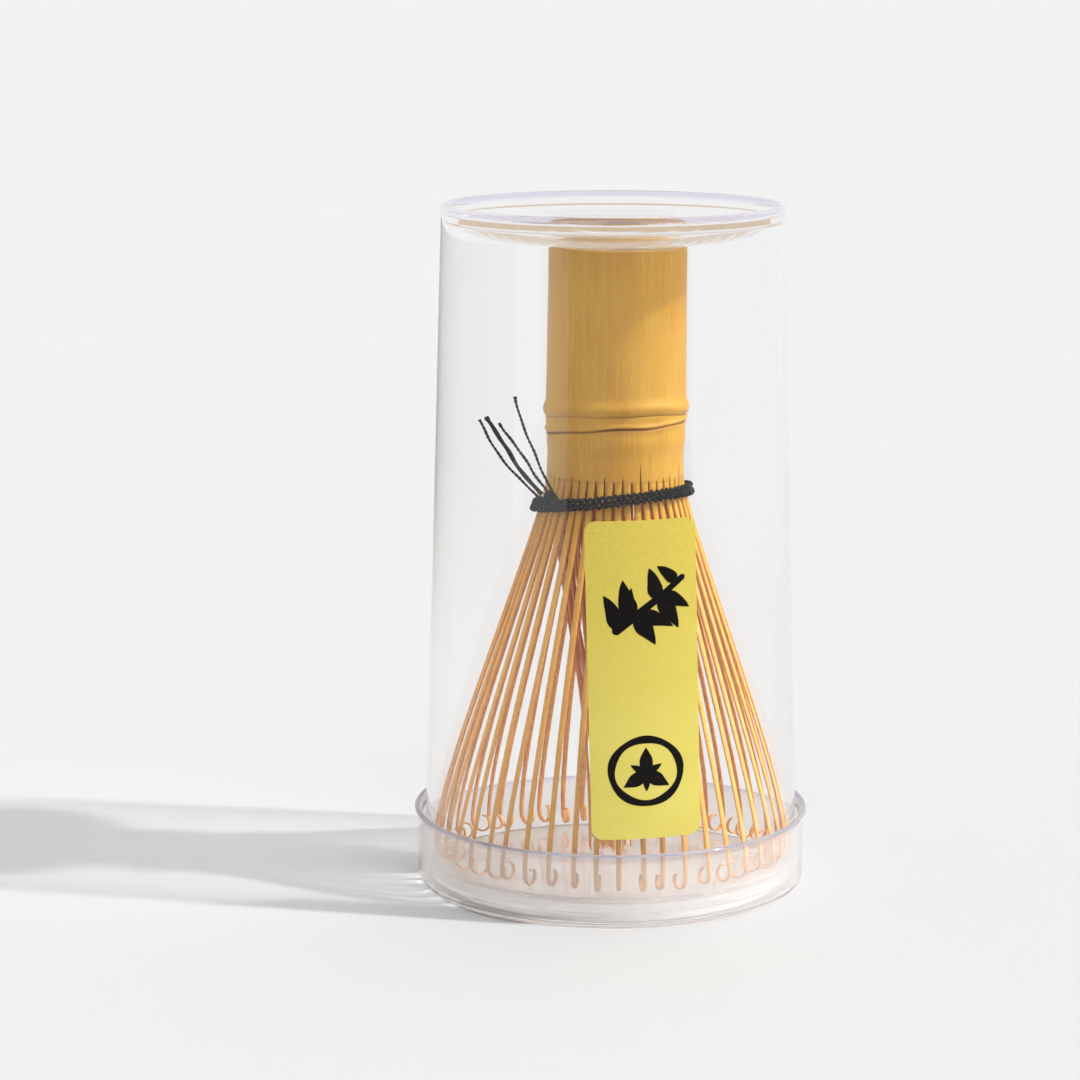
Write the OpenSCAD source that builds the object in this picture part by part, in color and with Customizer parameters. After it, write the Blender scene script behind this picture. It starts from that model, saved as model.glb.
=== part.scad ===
// Bamboo tea whisk, standing tines down in its clear case.
// Millimetres, +Z up. The origin is the centre of the lid's foot, on the table. The label faces -Y.

/* [Case] */
// Height of the closed case above the table
case_h = 126; // [125:0.5:132]
// Outer radius of the tube at its open end
tube_open_r = 34.8; // [34.4:0.1:35]
// Outer radius of the tube at its closed end
tube_closed_r = 31.3; // [31:0.1:32]
// Wall thickness of the tube
tube_wall = 1.1; // [0.8:0.1:1.2]
// How far the closed end dips into the tube
dish_depth = 4.2; // [3:0.1:5]
// Height at which the tube's open end stands in the lid's channel
tube_foot_z = 2.8; // [2.6:0.1:3.4]

/* [Lid] */
// Outer radius of the lid's wall
lid_r = 36; // [35.8:0.1:37]
// Height of the lid
lid_h = 14; // [10:0.5:16]
// Wall thickness of the lid
lid_wall = 0.9; // [0.7:0.1:1]
// Height of the raised floor that the whisk stands on
floor_z = 5.2; // [4.5:0.1:5.4]
// Radius of the raised floor
floor_r = 32.6; // [31:0.1:32.8]
// How far the lip flares beyond the wall
lip_flare = 0.7; // [0.3:0.1:1.2]

/* [Label] */
// Width of the label, measured across
label_w = 19.7; // [15:0.1:24]
// Height of the label
label_h = 57; // [40:1:60]
// Height of the label's centre above the table
label_z = 45; // [44:0.5:48]
// Turn of the label from the front, towards +X
label_turn = 8.8; // [-20:0.1:20]
// Tilt of the label, anticlockwise
label_tilt = 1.2; // [-3:0.1:3]
// Corner radius of the label
label_corner = 2; // [1:0.5:4]
// Thickness of the paper
label_t = 0.16; // [0.1:0.02:0.2]

/* [Handle] */
// Height of the handle's cut top
handle_top_z = 118.5; // [112:0.1:118.5]
// Radius of the handle above the node
handle_r = 12.6; // [11.8:0.1:13]
// Radius of the ridge at the bamboo's node
node_r = 13.4; // [13.1:0.1:14]
// Height of the node's ridge
node_z = 89.8; // [86:0.1:92]
// Radius of the hollow in the handle
bore_r = 8; // [7:0.1:9]
// Height at which the splits that make the tines begin
split_z = 77; // [76:0.5:78]
// Lean of the whisk in its case, in degrees towards +X
whisk_lean = 0.5; // [0:0.1:0.8]

/* [Tines] */
// Sections that the bamboo is split into
sections = 16; // [12:1:16]
// Width of an outer tine
outer_w = 1.05; // [0.7:0.05:1.1]
// Radius at the outer tines' widest spread
spread_r = 32.5; // [28:0.1:32.5]
// Height of the lowest point of the outer tines' hooks
tine_low_z = 5.9; // [5.9:0.1:8]
// Radius of the hook's wide bend
hook_r = 2; // [1.6:0.1:2.2]
// Radius of the hook's tight bend
hook_tip_r = 1.5; // [1.2:0.1:1.5]
// Width of an inner tine
inner_w = 0.46; // [0.3:0.02:0.48]
// Radius of the gathered bundle of inner tines
bundle_r = 4.2; // [4:0.1:5]
// Height of the inner tines' tips
bundle_low_z = 7; // [6.5:0.5:12]

/* [Thread] */
// Radius of the thread
thread_r = 0.42; // [0.3:0.02:0.44]
// Height of the middle round at the whisk's axis
thread_z = 73.1; // [72:0.1:74]
// Rise of the rounds towards +X, in degrees
thread_rise_x = 6.7; // [0:0.1:7]
// Rise of the rounds towards the front, in degrees
thread_rise_front = 4.3; // [0:0.1:5]
// Radius of the knot
knot_r = 1.6; // [1.2:0.1:1.8]
// Turn of the knot from the front, towards -X
knot_turn = 46; // [40:1:60]
// Height of the knot's centre above the middle round
knot_lift = 1.6; // [0:0.1:2]

/* [Hidden] */
$fn = 64;
tines_per_section = 3;
thread_rounds = 3;
section_turn = 360 / sections;
tine_turn = section_turn / tines_per_section;
// The first outer tine stands this far round from the front
first_tine_turn = 1.2;
// The thread's loose tails, each [heading of its plane, slope where it leaves the knot, turn of its bend,
// bend radius, tail radius, turn on the knot, height on the knot]
tails = [
    [172, 40, 22, 45, 0.3, -50, 0.4],
    [170, 46, 15, 62, 0.45, -26, 1.3],
    [168, 51, 6, 138, 0.32, 24, 1.7],
    [176, 58, 20, 54, 0.3, 84, 1.0]
];

function two_digits(i) = i < 10 ? str("0", i) : str(i);
function outer_name(i) = str("outer_tines_", two_digits(i));
function inner_name(i) = str("inner_tines_", two_digits(i));
function round_name(i) = str("thread_round_", i);
function tail_name(i) = str("thread_tail_", i);

function bezier(p, t) =
    pow(1 - t, 3) * p[0] + 3 * pow(1 - t, 2) * t * p[1]
    + 3 * (1 - t) * t * t * p[2] + pow(t, 3) * p[3];
function curve(p, steps) = [for (i = [0:steps]) bezier(p, i / steps)];
function on_circle(c, r, a) = c + r * [cos(a), sin(a)];
function arc(c, r, from, to, steps) =
    [for (i = [0:steps]) on_circle(c, r, from + (to - from) * i / steps)];

// Case: the tube's outer surface is a cone
tube_taper = (tube_open_r - tube_closed_r) / (case_h - tube_foot_z);
function tube_r(z) = tube_open_r - tube_taper * (z - tube_foot_z);

// The closed end is flat in the middle and steep at its rim, so its height follows a power of the radius.
// Its rings stand closer together towards the rim.
dish_power = 10;
dish_steps = 16;
rim_round = 0.6;
rim_drop = 1;
corner_gap = 0.4;
dish_r = tube_closed_r - tube_wall;
dish_low_z = case_h - rim_drop - tube_wall - dish_depth;
function dish_z(r) = dish_low_z + dish_depth * pow(r / dish_r, dish_power);
function dish(lift, rim_r, order) = [for (i = order)
    let (r = rim_r * cos(90 * i / dish_steps)) [r, dish_z(r) + lift]];
corner_z = dish_z(dish_r - corner_gap) - corner_gap;

module case_tube() {
    color([0.9, 0.93, 0.97, 0.35])
    rotate_extrude($fn = 128)
    polygon(concat(
        [[tube_open_r - tube_wall, tube_foot_z], [tube_open_r, tube_foot_z]],
        arc([tube_closed_r - rim_round, case_h - rim_round], rim_round, 0, 120, 6),
        dish(tube_wall, dish_r, [0:dish_steps]),
        dish(0, dish_r - corner_gap, [dish_steps:-1:0]),
        [[tube_r(corner_z) - tube_wall, corner_z]]
    ));
}

// Lid: one wall thickness all over, with a channel under the tube
foot_round = 1.6;
foot_in_r = floor_r - lid_wall;
channel_z = 1;
lip_h = 1.6;
lip_bevel = 0.3;
floor_bevel = 0.4;
lip_out_r = lid_r + lip_flare;
module case_lid() {
    color([0.86, 0.85, 0.95, 0.4])
    rotate_extrude($fn = 128)
    polygon(concat(
        [[0, floor_z - lid_wall], [foot_in_r - floor_bevel, floor_z - lid_wall],
         [foot_in_r, floor_z - lid_wall - floor_bevel], [foot_in_r, 0]],
        arc([lid_r - foot_round, foot_round], foot_round, -90, 0, 6),
        [[lid_r, lid_h - lip_h], [lip_out_r, lid_h - lip_bevel], [lip_out_r - lip_bevel, lid_h],
         [lip_out_r - lid_wall, lid_h], [lid_r - lid_wall, lid_h - lip_h]],
        arc([lid_r - foot_round, channel_z + foot_round - lid_wall], foot_round - lid_wall, 0, -90, 4),
        [[floor_r, channel_z], [floor_r, floor_z - floor_bevel], [floor_r - floor_bevel, floor_z],
         [0, floor_z]]
    ));
}

// Label: a patch of a thin conical shell
label_lift = 0.02;
module rounded_rect(w, h, r) {
    square([w - 2 * r, h], center = true);
    square([w, h - 2 * r], center = true);
    for (x = [-1, 1], z = [-1, 1])
        translate([x * (w / 2 - r), z * (h / 2 - r)])
        circle(r, $fn = 48);
}
module label() {
    low = label_z - label_h / 2 - 1;
    high = label_z + label_h / 2 + 1;
    color([0.9, 0.84, 0.33])
    intersection() {
        rotate_extrude($fn = 128)
        polygon([
            [tube_r(low) + label_lift, low], [tube_r(low) + label_lift + label_t, low],
            [tube_r(high) + label_lift + label_t, high], [tube_r(high) + label_lift, high]
        ]);
        rotate([0, 0, label_turn])
        translate([0, 0, label_z])
        rotate([90, 0, 0])
        rotate([0, 0, label_tilt])
        linear_extrude(2 * tube_open_r)
        rounded_rect(label_w, label_h, label_corner);
    }
}

// Whisk: everything below leans together about the middle of the lid's floor
module leaning() {
    translate([0, 0, floor_z])
    rotate([0, whisk_lean, 0])
    translate([0, 0, -floor_z])
    children();
}

// The culm's wall where the splits begin: outer tines take its outside, inner tines its inside
culm_r = 12.55;
outer_root_t = 0.7;
inner_root_t = 0.6;
inner_root_r = 11;
cavity_r = 9.8;
node_wall_low_z = node_z - 4;
node_wall_high_z = node_z + 0.6;
module handle() {
    color([0.80, 0.62, 0.33])
    leaning()
    rotate_extrude($fn = 96)
    polygon([
        [0, node_wall_low_z], [cavity_r, node_wall_low_z], [cavity_r, split_z], [culm_r, split_z],
        [culm_r - 0.05, split_z + 3], [handle_r + 0.3, node_z - 5], [handle_r + 0.4, node_z - 4.1],
        [node_r - 0.15, node_z - 3.8], [node_r - 0.25, node_z - 2], [node_r - 0.25, node_z - 1.4],
        [node_r, node_z - 1], [node_r, node_z + 0.2], [handle_r + 0.35, node_z + 1.6],
        [handle_r + 0.1, node_z + 4], [handle_r, node_z + 9], [handle_r, handle_top_z - 0.4],
        [handle_r - 0.3, handle_top_z], [bore_r + 0.2, handle_top_z], [bore_r, handle_top_z - 0.2],
        [bore_r, node_wall_high_z], [0, node_wall_high_z]
    ]);
}

// A tine is a strip of changing thickness along a path in the plane of its radius and height.
// It leaves the culm straight down, so its root is cut flush with the handle.
function heading(path, i) =
    let (a = path[max(i - 1, 0)], b = path[min(i + 1, len(path) - 1)])
    i == 0 ? [0, -1] : (b - a) / norm(b - a);
function beside(path, i, gap) = let (d = heading(path, i)) path[i] + gap * [-d[1], d[0]];
function half_thickness(path, i, root_t, tip_t) =
    (root_t + (tip_t - root_t) * i / (len(path) - 1)) / 2;
function strip(path, root_t, tip_t) = concat(
    [for (i = [0:len(path) - 1]) beside(path, i, half_thickness(path, i, root_t, tip_t))],
    [for (i = [len(path) - 1:-1:0]) beside(path, i, -half_thickness(path, i, root_t, tip_t))]
);
module tine(path, root_t, tip_t, width) {
    rotate([90, 0, 0])
    linear_extrude(width, center = true)
    polygon(strip(path, root_t, tip_t));
}

// Outer tine: down the culm, out over the spread, straight down at the end, then a curl inwards
outer_tip_t = 0.3;
shank_low_z = tine_low_z + hook_r + outer_tip_t / 2;
outer_root_r = culm_r - outer_root_t / 2;
outer_shank = curve([
    [outer_root_r, split_z], [outer_root_r, split_z - 6.5],
    [spread_r, shank_low_z + 14], [spread_r, shank_low_z]
], 12);
wide_turn = 120;
tight_turn = 150;
wide_centre = [spread_r - hook_r, shank_low_z];
wide_bend = arc(wide_centre, hook_r, 0, -wide_turn, 6);
tight_centre = on_circle(wide_centre, hook_r - hook_tip_r, -wide_turn);
tight_bend = arc(tight_centre, hook_tip_r, -wide_turn, -wide_turn - tight_turn, 6);
function all_but_first(points) = [for (i = [1:len(points) - 1]) points[i]];
outer_path = concat(outer_shank, all_but_first(wide_bend), all_but_first(tight_bend));

// Inner tine: down the culm's inside and in to the bundle, at one of three depths
inner_tip_t = 0.3;
bundle_step = 1.3;
function inner_path(depth) =
    let (r = bundle_r - inner_tip_t / 2 - depth * bundle_step)
    curve([[inner_root_r, split_z], [inner_root_r, 53], [r, 38], [r, bundle_low_z]], 12);

module outer_tines(section) {
    color([0.84, 0.61, 0.39])
    leaning()
    for (i = [0:tines_per_section - 1])
        rotate([0, 0, first_tine_turn - 90 + (section - 1) * section_turn + i * tine_turn])
        tine(outer_path, outer_root_t, outer_tip_t, outer_w);
}
module inner_tines(section) {
    color([0.72, 0.47, 0.28])
    leaning()
    for (i = [0:tines_per_section - 1])
        rotate([0, 0, first_tine_turn - 90 + (section - 1) * section_turn + (i + 0.5) * tine_turn])
        tine(inner_path(i), inner_root_t, inner_tip_t, inner_w);
}

// Thread: the outer tines form a cone there, so a tilted round sits off the axis to touch it all round
thread_pitch = 2 * thread_r + 0.02;
tine_slope = 0.3;
tine_r_at_thread = 13.4;
thread_gap = 0.15;
round_r = tine_r_at_thread + outer_root_t / 2 + thread_r + thread_gap;
round_shift = [
    -tine_slope * tan(thread_rise_x) * round_r,
    tine_slope * tan(thread_rise_front) * round_r,
    0
];
function thread_height(x, y) = thread_z + tan(thread_rise_x) * x - tan(thread_rise_front) * y;
module thread_round(i) {
    level = i - (thread_rounds + 1) / 2;
    color([0.1, 0.1, 0.11])
    leaning()
    translate(round_shift + [0, 0, thread_z + level * thread_pitch])
    rotate([-thread_rise_front, -thread_rise_x, 0])
    rotate_extrude($fn = 96)
    translate([round_r - level * tine_slope * thread_pitch, 0])
    circle(thread_r, $fn = 24);
}

knot_out_r = round_r + thread_r + knot_r + 0.6;
knot_x = -knot_out_r * sin(knot_turn);
knot_y = -knot_out_r * cos(knot_turn);
knot_at = [knot_x, knot_y, thread_height(knot_x, knot_y) + knot_lift];
module thread_knot() {
    color([0.1, 0.1, 0.11])
    leaning()
    translate(knot_at)
    sphere(knot_r, $fn = 48);
}

tail_gap = 0.1;
module thread_tail(i) {
    tail = tails[i - 1];
    plane_turn = tail[0];
    slope = tail[1];
    bend_turn = tail[2];
    bend_r = tail[3];
    tail_r = tail[4];
    start_turn = -90 - knot_turn + tail[5];
    start_z = tail[6];
    start_out = sqrt(pow(knot_r + tail_r + tail_gap, 2) - pow(start_z, 2));
    color([0.1, 0.1, 0.11])
    leaning()
    translate(knot_at + [start_out * cos(start_turn), start_out * sin(start_turn), start_z])
    rotate([0, 0, plane_turn])
    rotate([90, 0, 0])
    rotate([0, 0, slope - 90])
    translate([-bend_r, 0, 0])
    rotate_extrude(angle = bend_turn, $fn = 96)
    translate([bend_r, 0])
    circle(tail_r, $fn = 16);
}

case_lid();
case_tube();
label();
handle();
for (i = [1:sections]) {
    outer_tines(i);
    inner_tines(i);
}
for (i = [1:thread_rounds])
    thread_round(i);
thread_knot();
for (i = [1:len(tails)])
    thread_tail(i);
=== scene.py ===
"""Looks for the bamboo tea whisk in its clear case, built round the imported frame.

Lengths are millimetres until mesh_piece() turns them into metres. +Z is up and the label faces -Y.
Turns are in degrees, anticlockwise seen from above, with 0 at +X, so the front is at -90.
"""
import math
import random

import bmesh
import bpy
from mathutils import Matrix, Vector, noise


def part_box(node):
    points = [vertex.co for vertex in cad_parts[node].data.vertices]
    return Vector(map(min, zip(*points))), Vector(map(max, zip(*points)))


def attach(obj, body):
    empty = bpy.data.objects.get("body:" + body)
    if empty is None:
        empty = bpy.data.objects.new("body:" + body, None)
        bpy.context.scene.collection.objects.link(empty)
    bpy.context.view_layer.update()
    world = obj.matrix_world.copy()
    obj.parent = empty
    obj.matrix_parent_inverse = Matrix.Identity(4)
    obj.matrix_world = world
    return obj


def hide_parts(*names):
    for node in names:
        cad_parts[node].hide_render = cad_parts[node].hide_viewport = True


MM = 0.001
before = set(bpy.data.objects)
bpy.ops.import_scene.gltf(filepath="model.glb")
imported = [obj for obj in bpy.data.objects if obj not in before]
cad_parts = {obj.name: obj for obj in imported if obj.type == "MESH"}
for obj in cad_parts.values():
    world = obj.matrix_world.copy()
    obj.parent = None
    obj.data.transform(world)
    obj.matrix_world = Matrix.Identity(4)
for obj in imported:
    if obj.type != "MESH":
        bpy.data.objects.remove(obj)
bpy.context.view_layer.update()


# ---------------------------------------------------------------- sizes

def low_corner(node):
    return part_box(node)[0] / MM


def high_corner(node):
    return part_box(node)[1] / MM


# Case
CASE_H = high_corner("case_tube").z
TUBE_OPEN_R = high_corner("case_tube").x
TUBE_FOOT_Z = low_corner("case_tube").z
TUBE_CLOSED_R = 31.3
TUBE_WALL = 1.1
RIM_ROUND = 0.6
RIM_DROP = 1.0
CORNER_GAP = 0.4
DISH_DEPTH = 4.2
DISH_POWER = 10
DISH_R = TUBE_CLOSED_R - TUBE_WALL
DISH_LOW_Z = CASE_H - RIM_DROP - TUBE_WALL - DISH_DEPTH

# Lid
LID_H = high_corner("case_lid").z
LIP_OUT_R = high_corner("case_lid").x
LIP_FLARE = 0.7
LIP_H = 1.6
LIP_BEVEL = 0.3
LID_R = LIP_OUT_R - LIP_FLARE
LID_WALL = 0.9
FLOOR_Z = 5.2
FLOOR_R = 32.6
FLOOR_BEVEL = 0.4
FOOT_ROUND = 1.6
FOOT_IN_R = FLOOR_R - LID_WALL
CHANNEL_Z = 1.0

# Label
LABEL_W, LABEL_H = 19.7, 57.0
LABEL_Z = 45.0
LABEL_TURN = 8.8
LABEL_TILT = math.radians(1.2)
LABEL_CORNER = 2.0
LABEL_LIFT, LABEL_T = 0.02, 0.16

# Whisk
WHISK_LEAN = math.radians(0.5)
SECTIONS = 16
TINES_PER_SECTION = 3
TINE_TURN = 360 / SECTIONS / TINES_PER_SECTION
FIRST_TINE = -90 + 1.2
SPLIT_Z = 77.0
HANDLE_TOP_Z = 118.5
BORE_R = 8.0
CAVITY_R = 9.8
CULM_R = 12.55
NODE_WALL_LOW_Z, NODE_WALL_HIGH_Z = 85.8, 90.4
OUTER_ROOT_T, OUTER_TIP_T = 0.7, 0.24
OUTER_ROOT_R = CULM_R - OUTER_ROOT_T / 2
SPREAD_R = 32.5
TINE_LOW_Z = 5.9
HOOK_R, HOOK_TIP_R = 2.0, 1.5
INNER_ROOT_R, INNER_ROOT_T, INNER_TIP_T = 11.0, 0.6, 0.26
BUNDLE_R, BUNDLE_STEP, BUNDLE_LOW_Z = 4.05, 1.3, 7.0

# Thread
THREAD_Z = 73.1
THREAD_R = 0.42
RISE_X, RISE_FRONT = math.tan(math.radians(6.7)), math.tan(math.radians(4.3))
TINE_SLOPE = 0.3
ROUND_R = 13.4 + OUTER_ROOT_T / 2 + THREAD_R + 0.15
KNOT_R = 1.6
KNOT_TURN = -90 - 46
KNOT_LIFT = 1.6
KNOT_OUT_R = ROUND_R + THREAD_R + KNOT_R + 0.6
# Each tail: heading of its plane, slope where it leaves the knot, turn of its bend, bend radius,
# thread radius, turn on the knot, height on the knot
TAILS = [
    (172, 40, 22, 45, 0.30, -50, 0.4),
    (170, 46, 15, 62, 0.45, -26, 1.3),
    (168, 51, 6, 138, 0.32, 24, 1.7),
    (176, 58, 20, 54, 0.30, 84, 1.0),
]
TAIL_GAP = 0.1


# Where the sun stands
SUN_TURN, SUN_RISE = -11, 45


# ---------------------------------------------------------------- curves and meshes

def polar(r, turn, z):
    a = math.radians(turn)
    return Vector((r * math.cos(a), r * math.sin(a), z))


def mix(a, b, t):
    return a + (b - a) * t


def smooth(t):
    t = min(max(t, 0.0), 1.0)
    return t * t * (3 - 2 * t)


def bezier(p, t):
    return ((1 - t) ** 3 * p[0] + 3 * (1 - t) ** 2 * t * p[1]
            + 3 * (1 - t) * t * t * p[2] + t ** 3 * p[3])


def curve(corners, steps):
    corners = [Vector(c) for c in corners]
    return [bezier(corners, i / steps) for i in range(steps + 1)]


def on_circle(centre, r, turn):
    return Vector(centre) + r * Vector((math.cos(math.radians(turn)), math.sin(math.radians(turn))))


def arc(centre, r, start, end, steps):
    return [on_circle(centre, r, mix(start, end, i / steps)) for i in range(steps + 1)]


def through(stations, z):
    """A smooth value at z from a list of (z, value) in rising order."""
    for (z0, v0), (z1, v1) in zip(stations, stations[1:]):
        if z <= z1:
            return mix(v0, v1, smooth((z - z0) / (z1 - z0)))
    return stations[-1][1]


def rounded(outline, radius, steps=4, least_turn=14):
    """A closed outline with its corners rounded by radius, or by less where the sides are short."""
    out = []
    outline = [Vector(p) for p in outline]
    for i, p in enumerate(outline):
        back, ahead = outline[i - 1] - p, outline[(i + 1) % len(outline)] - p
        on_axis = p.x < 1e-6
        if on_axis or math.degrees((-back).angle(ahead)) < least_turn:
            out.append(p)
            continue
        cut = min(radius, 0.45 * back.length, 0.45 * ahead.length)
        a, b = p + back.normalized() * cut, p + ahead.normalized() * cut
        for k in range(steps + 1):
            t = k / steps
            out.append(a * (1 - t) ** 2 + p * 2 * t * (1 - t) + b * t * t)
    return out


class Shape:
    """Points, faces and one colour a point, gathered before they become a mesh."""

    def __init__(self):
        self.points, self.faces, self.looks = [], [], []

    def add(self, point, look=(0, 0, 0)):
        self.points.append(Vector(point))
        self.looks.append((*look, 1.0))
        return len(self.points) - 1

    def bridge(self, ring_a, ring_b, closed=True):
        n = len(ring_a)
        for k in range(n if closed else n - 1):
            m = (k + 1) % n
            corners = []
            for c in (ring_a[k], ring_a[m], ring_b[m], ring_b[k]):
                if c not in corners:
                    corners.append(c)
            if len(corners) > 2:
                self.faces.append(corners)

    def cap(self, ring):
        self.faces.append(list(ring))


def mesh_piece(name, shape, material, place=None, sharp=40):
    """A piece from a shape in millimetres, its normals outwards and its edges sharp past that angle."""
    mesh = bpy.data.meshes.new(name)
    points = [place @ p for p in shape.points] if place else shape.points
    mesh.from_pydata([p * MM for p in points], [], shape.faces)
    looks = mesh.attributes.new("look", "FLOAT_COLOR", "POINT")
    looks.data.foreach_set("color", [v for look in shape.looks for v in look])
    work = bmesh.new()
    work.from_mesh(mesh)
    bmesh.ops.remove_doubles(work, verts=work.verts, dist=0.0005 * MM)
    bmesh.ops.dissolve_degenerate(work, edges=work.edges, dist=0.0005 * MM)
    bmesh.ops.recalc_face_normals(work, faces=work.faces)
    work.to_mesh(mesh)
    work.free()
    mesh.materials.append(material)
    mesh.shade_smooth()
    mesh.set_sharp_from_angle(angle=math.radians(sharp))
    piece = bpy.data.objects.new(name, mesh)
    bpy.context.scene.collection.objects.link(piece)
    return piece


def place_piece(piece, body, slot, *nodes):
    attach(piece, body)
    if nodes:
        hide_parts(*nodes)


def lathe(outline, segments, to_point=polar, look=lambda r, turn, z: (0, 0, 0), start=0):
    """A closed outline of (radius, height) turned round the axis, from a column at start."""
    shape = Shape()
    rings = []
    for r, z in outline:
        if r < 1e-6:
            rings.append([shape.add((0, 0, z), look(0, 0, z))] * segments)
            continue
        turns = [start + 360 * k / segments for k in range(segments)]
        rings.append([shape.add(to_point(r, t, z), look(r, t, z)) for t in turns])
    for ring, following in zip(rings, rings[1:] + rings[:1]):
        shape.bridge(ring, following)
    return shape


def directions(points, closed=False):
    n = len(points)
    out = []
    for i in range(n):
        ahead = points[(i + 1) % n] if closed else points[min(i + 1, n - 1)]
        behind = points[i - 1] if closed else points[max(i - 1, 0)]
        out.append((ahead - behind).normalized())
    return out


def across(tangents, start):
    """One unit vector square to each tangent, carried along without twist."""
    out = []
    side = start
    for t in tangents:
        side = (side - t * side.dot(t)).normalized()
        out.append(side)
    return out


def tube(shape, points, radii, sides=8, closed=False, sideways=None, look=(0, 0, 0)):
    """A round tube along points. sideways gives a vector across it at each point."""
    tangents = directions(points, closed)
    if sideways is None:
        first = Vector((0, 0, 1)) if abs(tangents[0].z) < 0.9 else Vector((1, 0, 0))
        sideways = across(tangents, first)
    rings = []
    for p, t, s, r in zip(points, tangents, sideways, radii):
        s = (s - t * s.dot(t)).normalized()
        u = t.cross(s)
        angles = [2 * math.pi * k / sides for k in range(sides)]
        rings.append([shape.add(p + r * (s * math.cos(a) + u * math.sin(a)), look) for a in angles])
    for a, b in zip(rings, rings[1:]):
        shape.bridge(a, b)
    if closed:
        shape.bridge(rings[-1], rings[0])
    else:
        shape.cap(rings[0])
        shape.cap(rings[-1])


def yarn(shape, points, radius, plies, pitch, closed=False, sideways=None, swell=None):
    """Plies twisted together along points. swell changes the radius along its length, from 0 to 1."""
    tangents = directions(points, closed)
    if sideways is None:
        sideways = across(tangents, Vector((0.3, 0.2, 1)).normalized())
    lengths = [0.0]
    for a, b in zip(points, points[1:]):
        lengths.append(lengths[-1] + (b - a).length)
    whole = lengths[-1] + ((points[0] - points[-1]).length if closed else 0)
    turns = max(1, round(whole / pitch)) if closed else whole / pitch
    ply_r = radius * (0.56 if plies == 2 else 0.5)
    for ply in range(plies):
        line, radii = [], []
        for p, t, s, along in zip(points, tangents, sideways, lengths):
            share = along / whole
            size = swell(share) if swell else 1.0
            s = (s - t * s.dot(t)).normalized()
            a = 2 * math.pi * (turns * share + ply / plies)
            line.append(p + (radius - ply_r) * size * (s * math.cos(a) + t.cross(s) * math.sin(a)))
            radii.append(ply_r * size)
        tube(shape, line, radii, 7, closed, sideways)


# ---------------------------------------------------------------- materials

class Nodes:
    """A short way to write a node material."""

    def __init__(self, name):
        self.material = bpy.data.materials.new(name)
        self.material.use_nodes = True
        self.tree = self.material.node_tree
        self.tree.nodes.clear()
        self.output = self.make("ShaderNodeOutputMaterial")
        self.shader = self.make("ShaderNodeBsdfPrincipled")
        self.link(self.shader.outputs[0], self.output.inputs["Surface"])

    def make(self, kind, **settings):
        node = self.tree.nodes.new(kind)
        for key, value in settings.items():
            setattr(node, key, value)
        return node

    def link(self, source, target):
        self.tree.links.new(source, target)

    def put(self, value, target):
        if isinstance(value, (int, float, tuple)):
            target.default_value = value
        else:
            self.link(value, target)

    def set(self, **values):
        """Values of the Principled shader, with _ for a space in a socket's name."""
        for key, value in values.items():
            self.put(value, self.shader.inputs[key.replace("_", " ")])

    def place(self, stretch=(1, 1, 1)):
        mapping = self.make("ShaderNodeMapping")
        self.link(self.make("ShaderNodeTexCoord").outputs["Object"], mapping.inputs["Vector"])
        mapping.inputs["Scale"].default_value = stretch
        return mapping.outputs["Vector"]

    def noise(self, where, size, detail=4.0, rough=0.55, warp=0.0):
        """Noise with features of about that size in millimetres."""
        node = self.make("ShaderNodeTexNoise")
        self.link(where, node.inputs["Vector"])
        node.inputs["Scale"].default_value = 1 / (size * MM)
        node.inputs["Detail"].default_value = detail
        node.inputs["Roughness"].default_value = rough
        node.inputs["Distortion"].default_value = warp
        return node.outputs["Fac"]

    def ramp(self, factor, low, high, from_value=0.0, to_value=1.0):
        node = self.make("ShaderNodeMapRange")
        node.interpolation_type = "SMOOTHSTEP"
        self.put(factor, node.inputs["Value"])
        for key, value in zip(("From Min", "From Max", "To Min", "To Max"),
                              (low, high, from_value, to_value)):
            node.inputs[key].default_value = value
        return node.outputs["Result"]

    def colours(self, factor, a, b, blend="MIX"):
        node = self.make("ShaderNodeMix", data_type="RGBA", blend_type=blend)
        self.put(factor, node.inputs["Factor"])
        self.put(a, node.inputs[6])
        self.put(b, node.inputs[7])
        return node.outputs[2]

    def maths(self, operation, a, b=0.0):
        node = self.make("ShaderNodeMath", operation=operation)
        self.put(a, node.inputs[0])
        self.put(b, node.inputs[1])
        return node.outputs[0]

    def looks(self):
        """The three values a shape stores at each point."""
        node = self.make("ShaderNodeAttribute", attribute_name="look")
        parts = self.make("ShaderNodeSeparateColor")
        self.link(node.outputs["Color"], parts.inputs[0])
        return parts.outputs[0], parts.outputs[1], parts.outputs[2]

    def bump(self, height, depth, strength=1.0):
        """Relief of that depth in millimetres."""
        node = self.make("ShaderNodeBump")
        node.inputs["Strength"].default_value = strength
        node.inputs["Distance"].default_value = depth * MM
        self.put(height, node.inputs["Height"])
        self.link(node.outputs[0], self.shader.inputs["Normal"])


def colour(red, green, blue):
    """A colour from screen values of 0 to 255."""
    def linear(v):
        v /= 255
        return v / 12.92 if v <= 0.04045 else ((v + 0.055) / 1.055) ** 2.4
    return (linear(red), linear(green), linear(blue), 1.0)


def grey(value):
    return (value, value, value, 1.0)


# The share of the lamps' light that gets straight through one surface of the closed end's middle
SPREAD_LIGHT = 0.1


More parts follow.
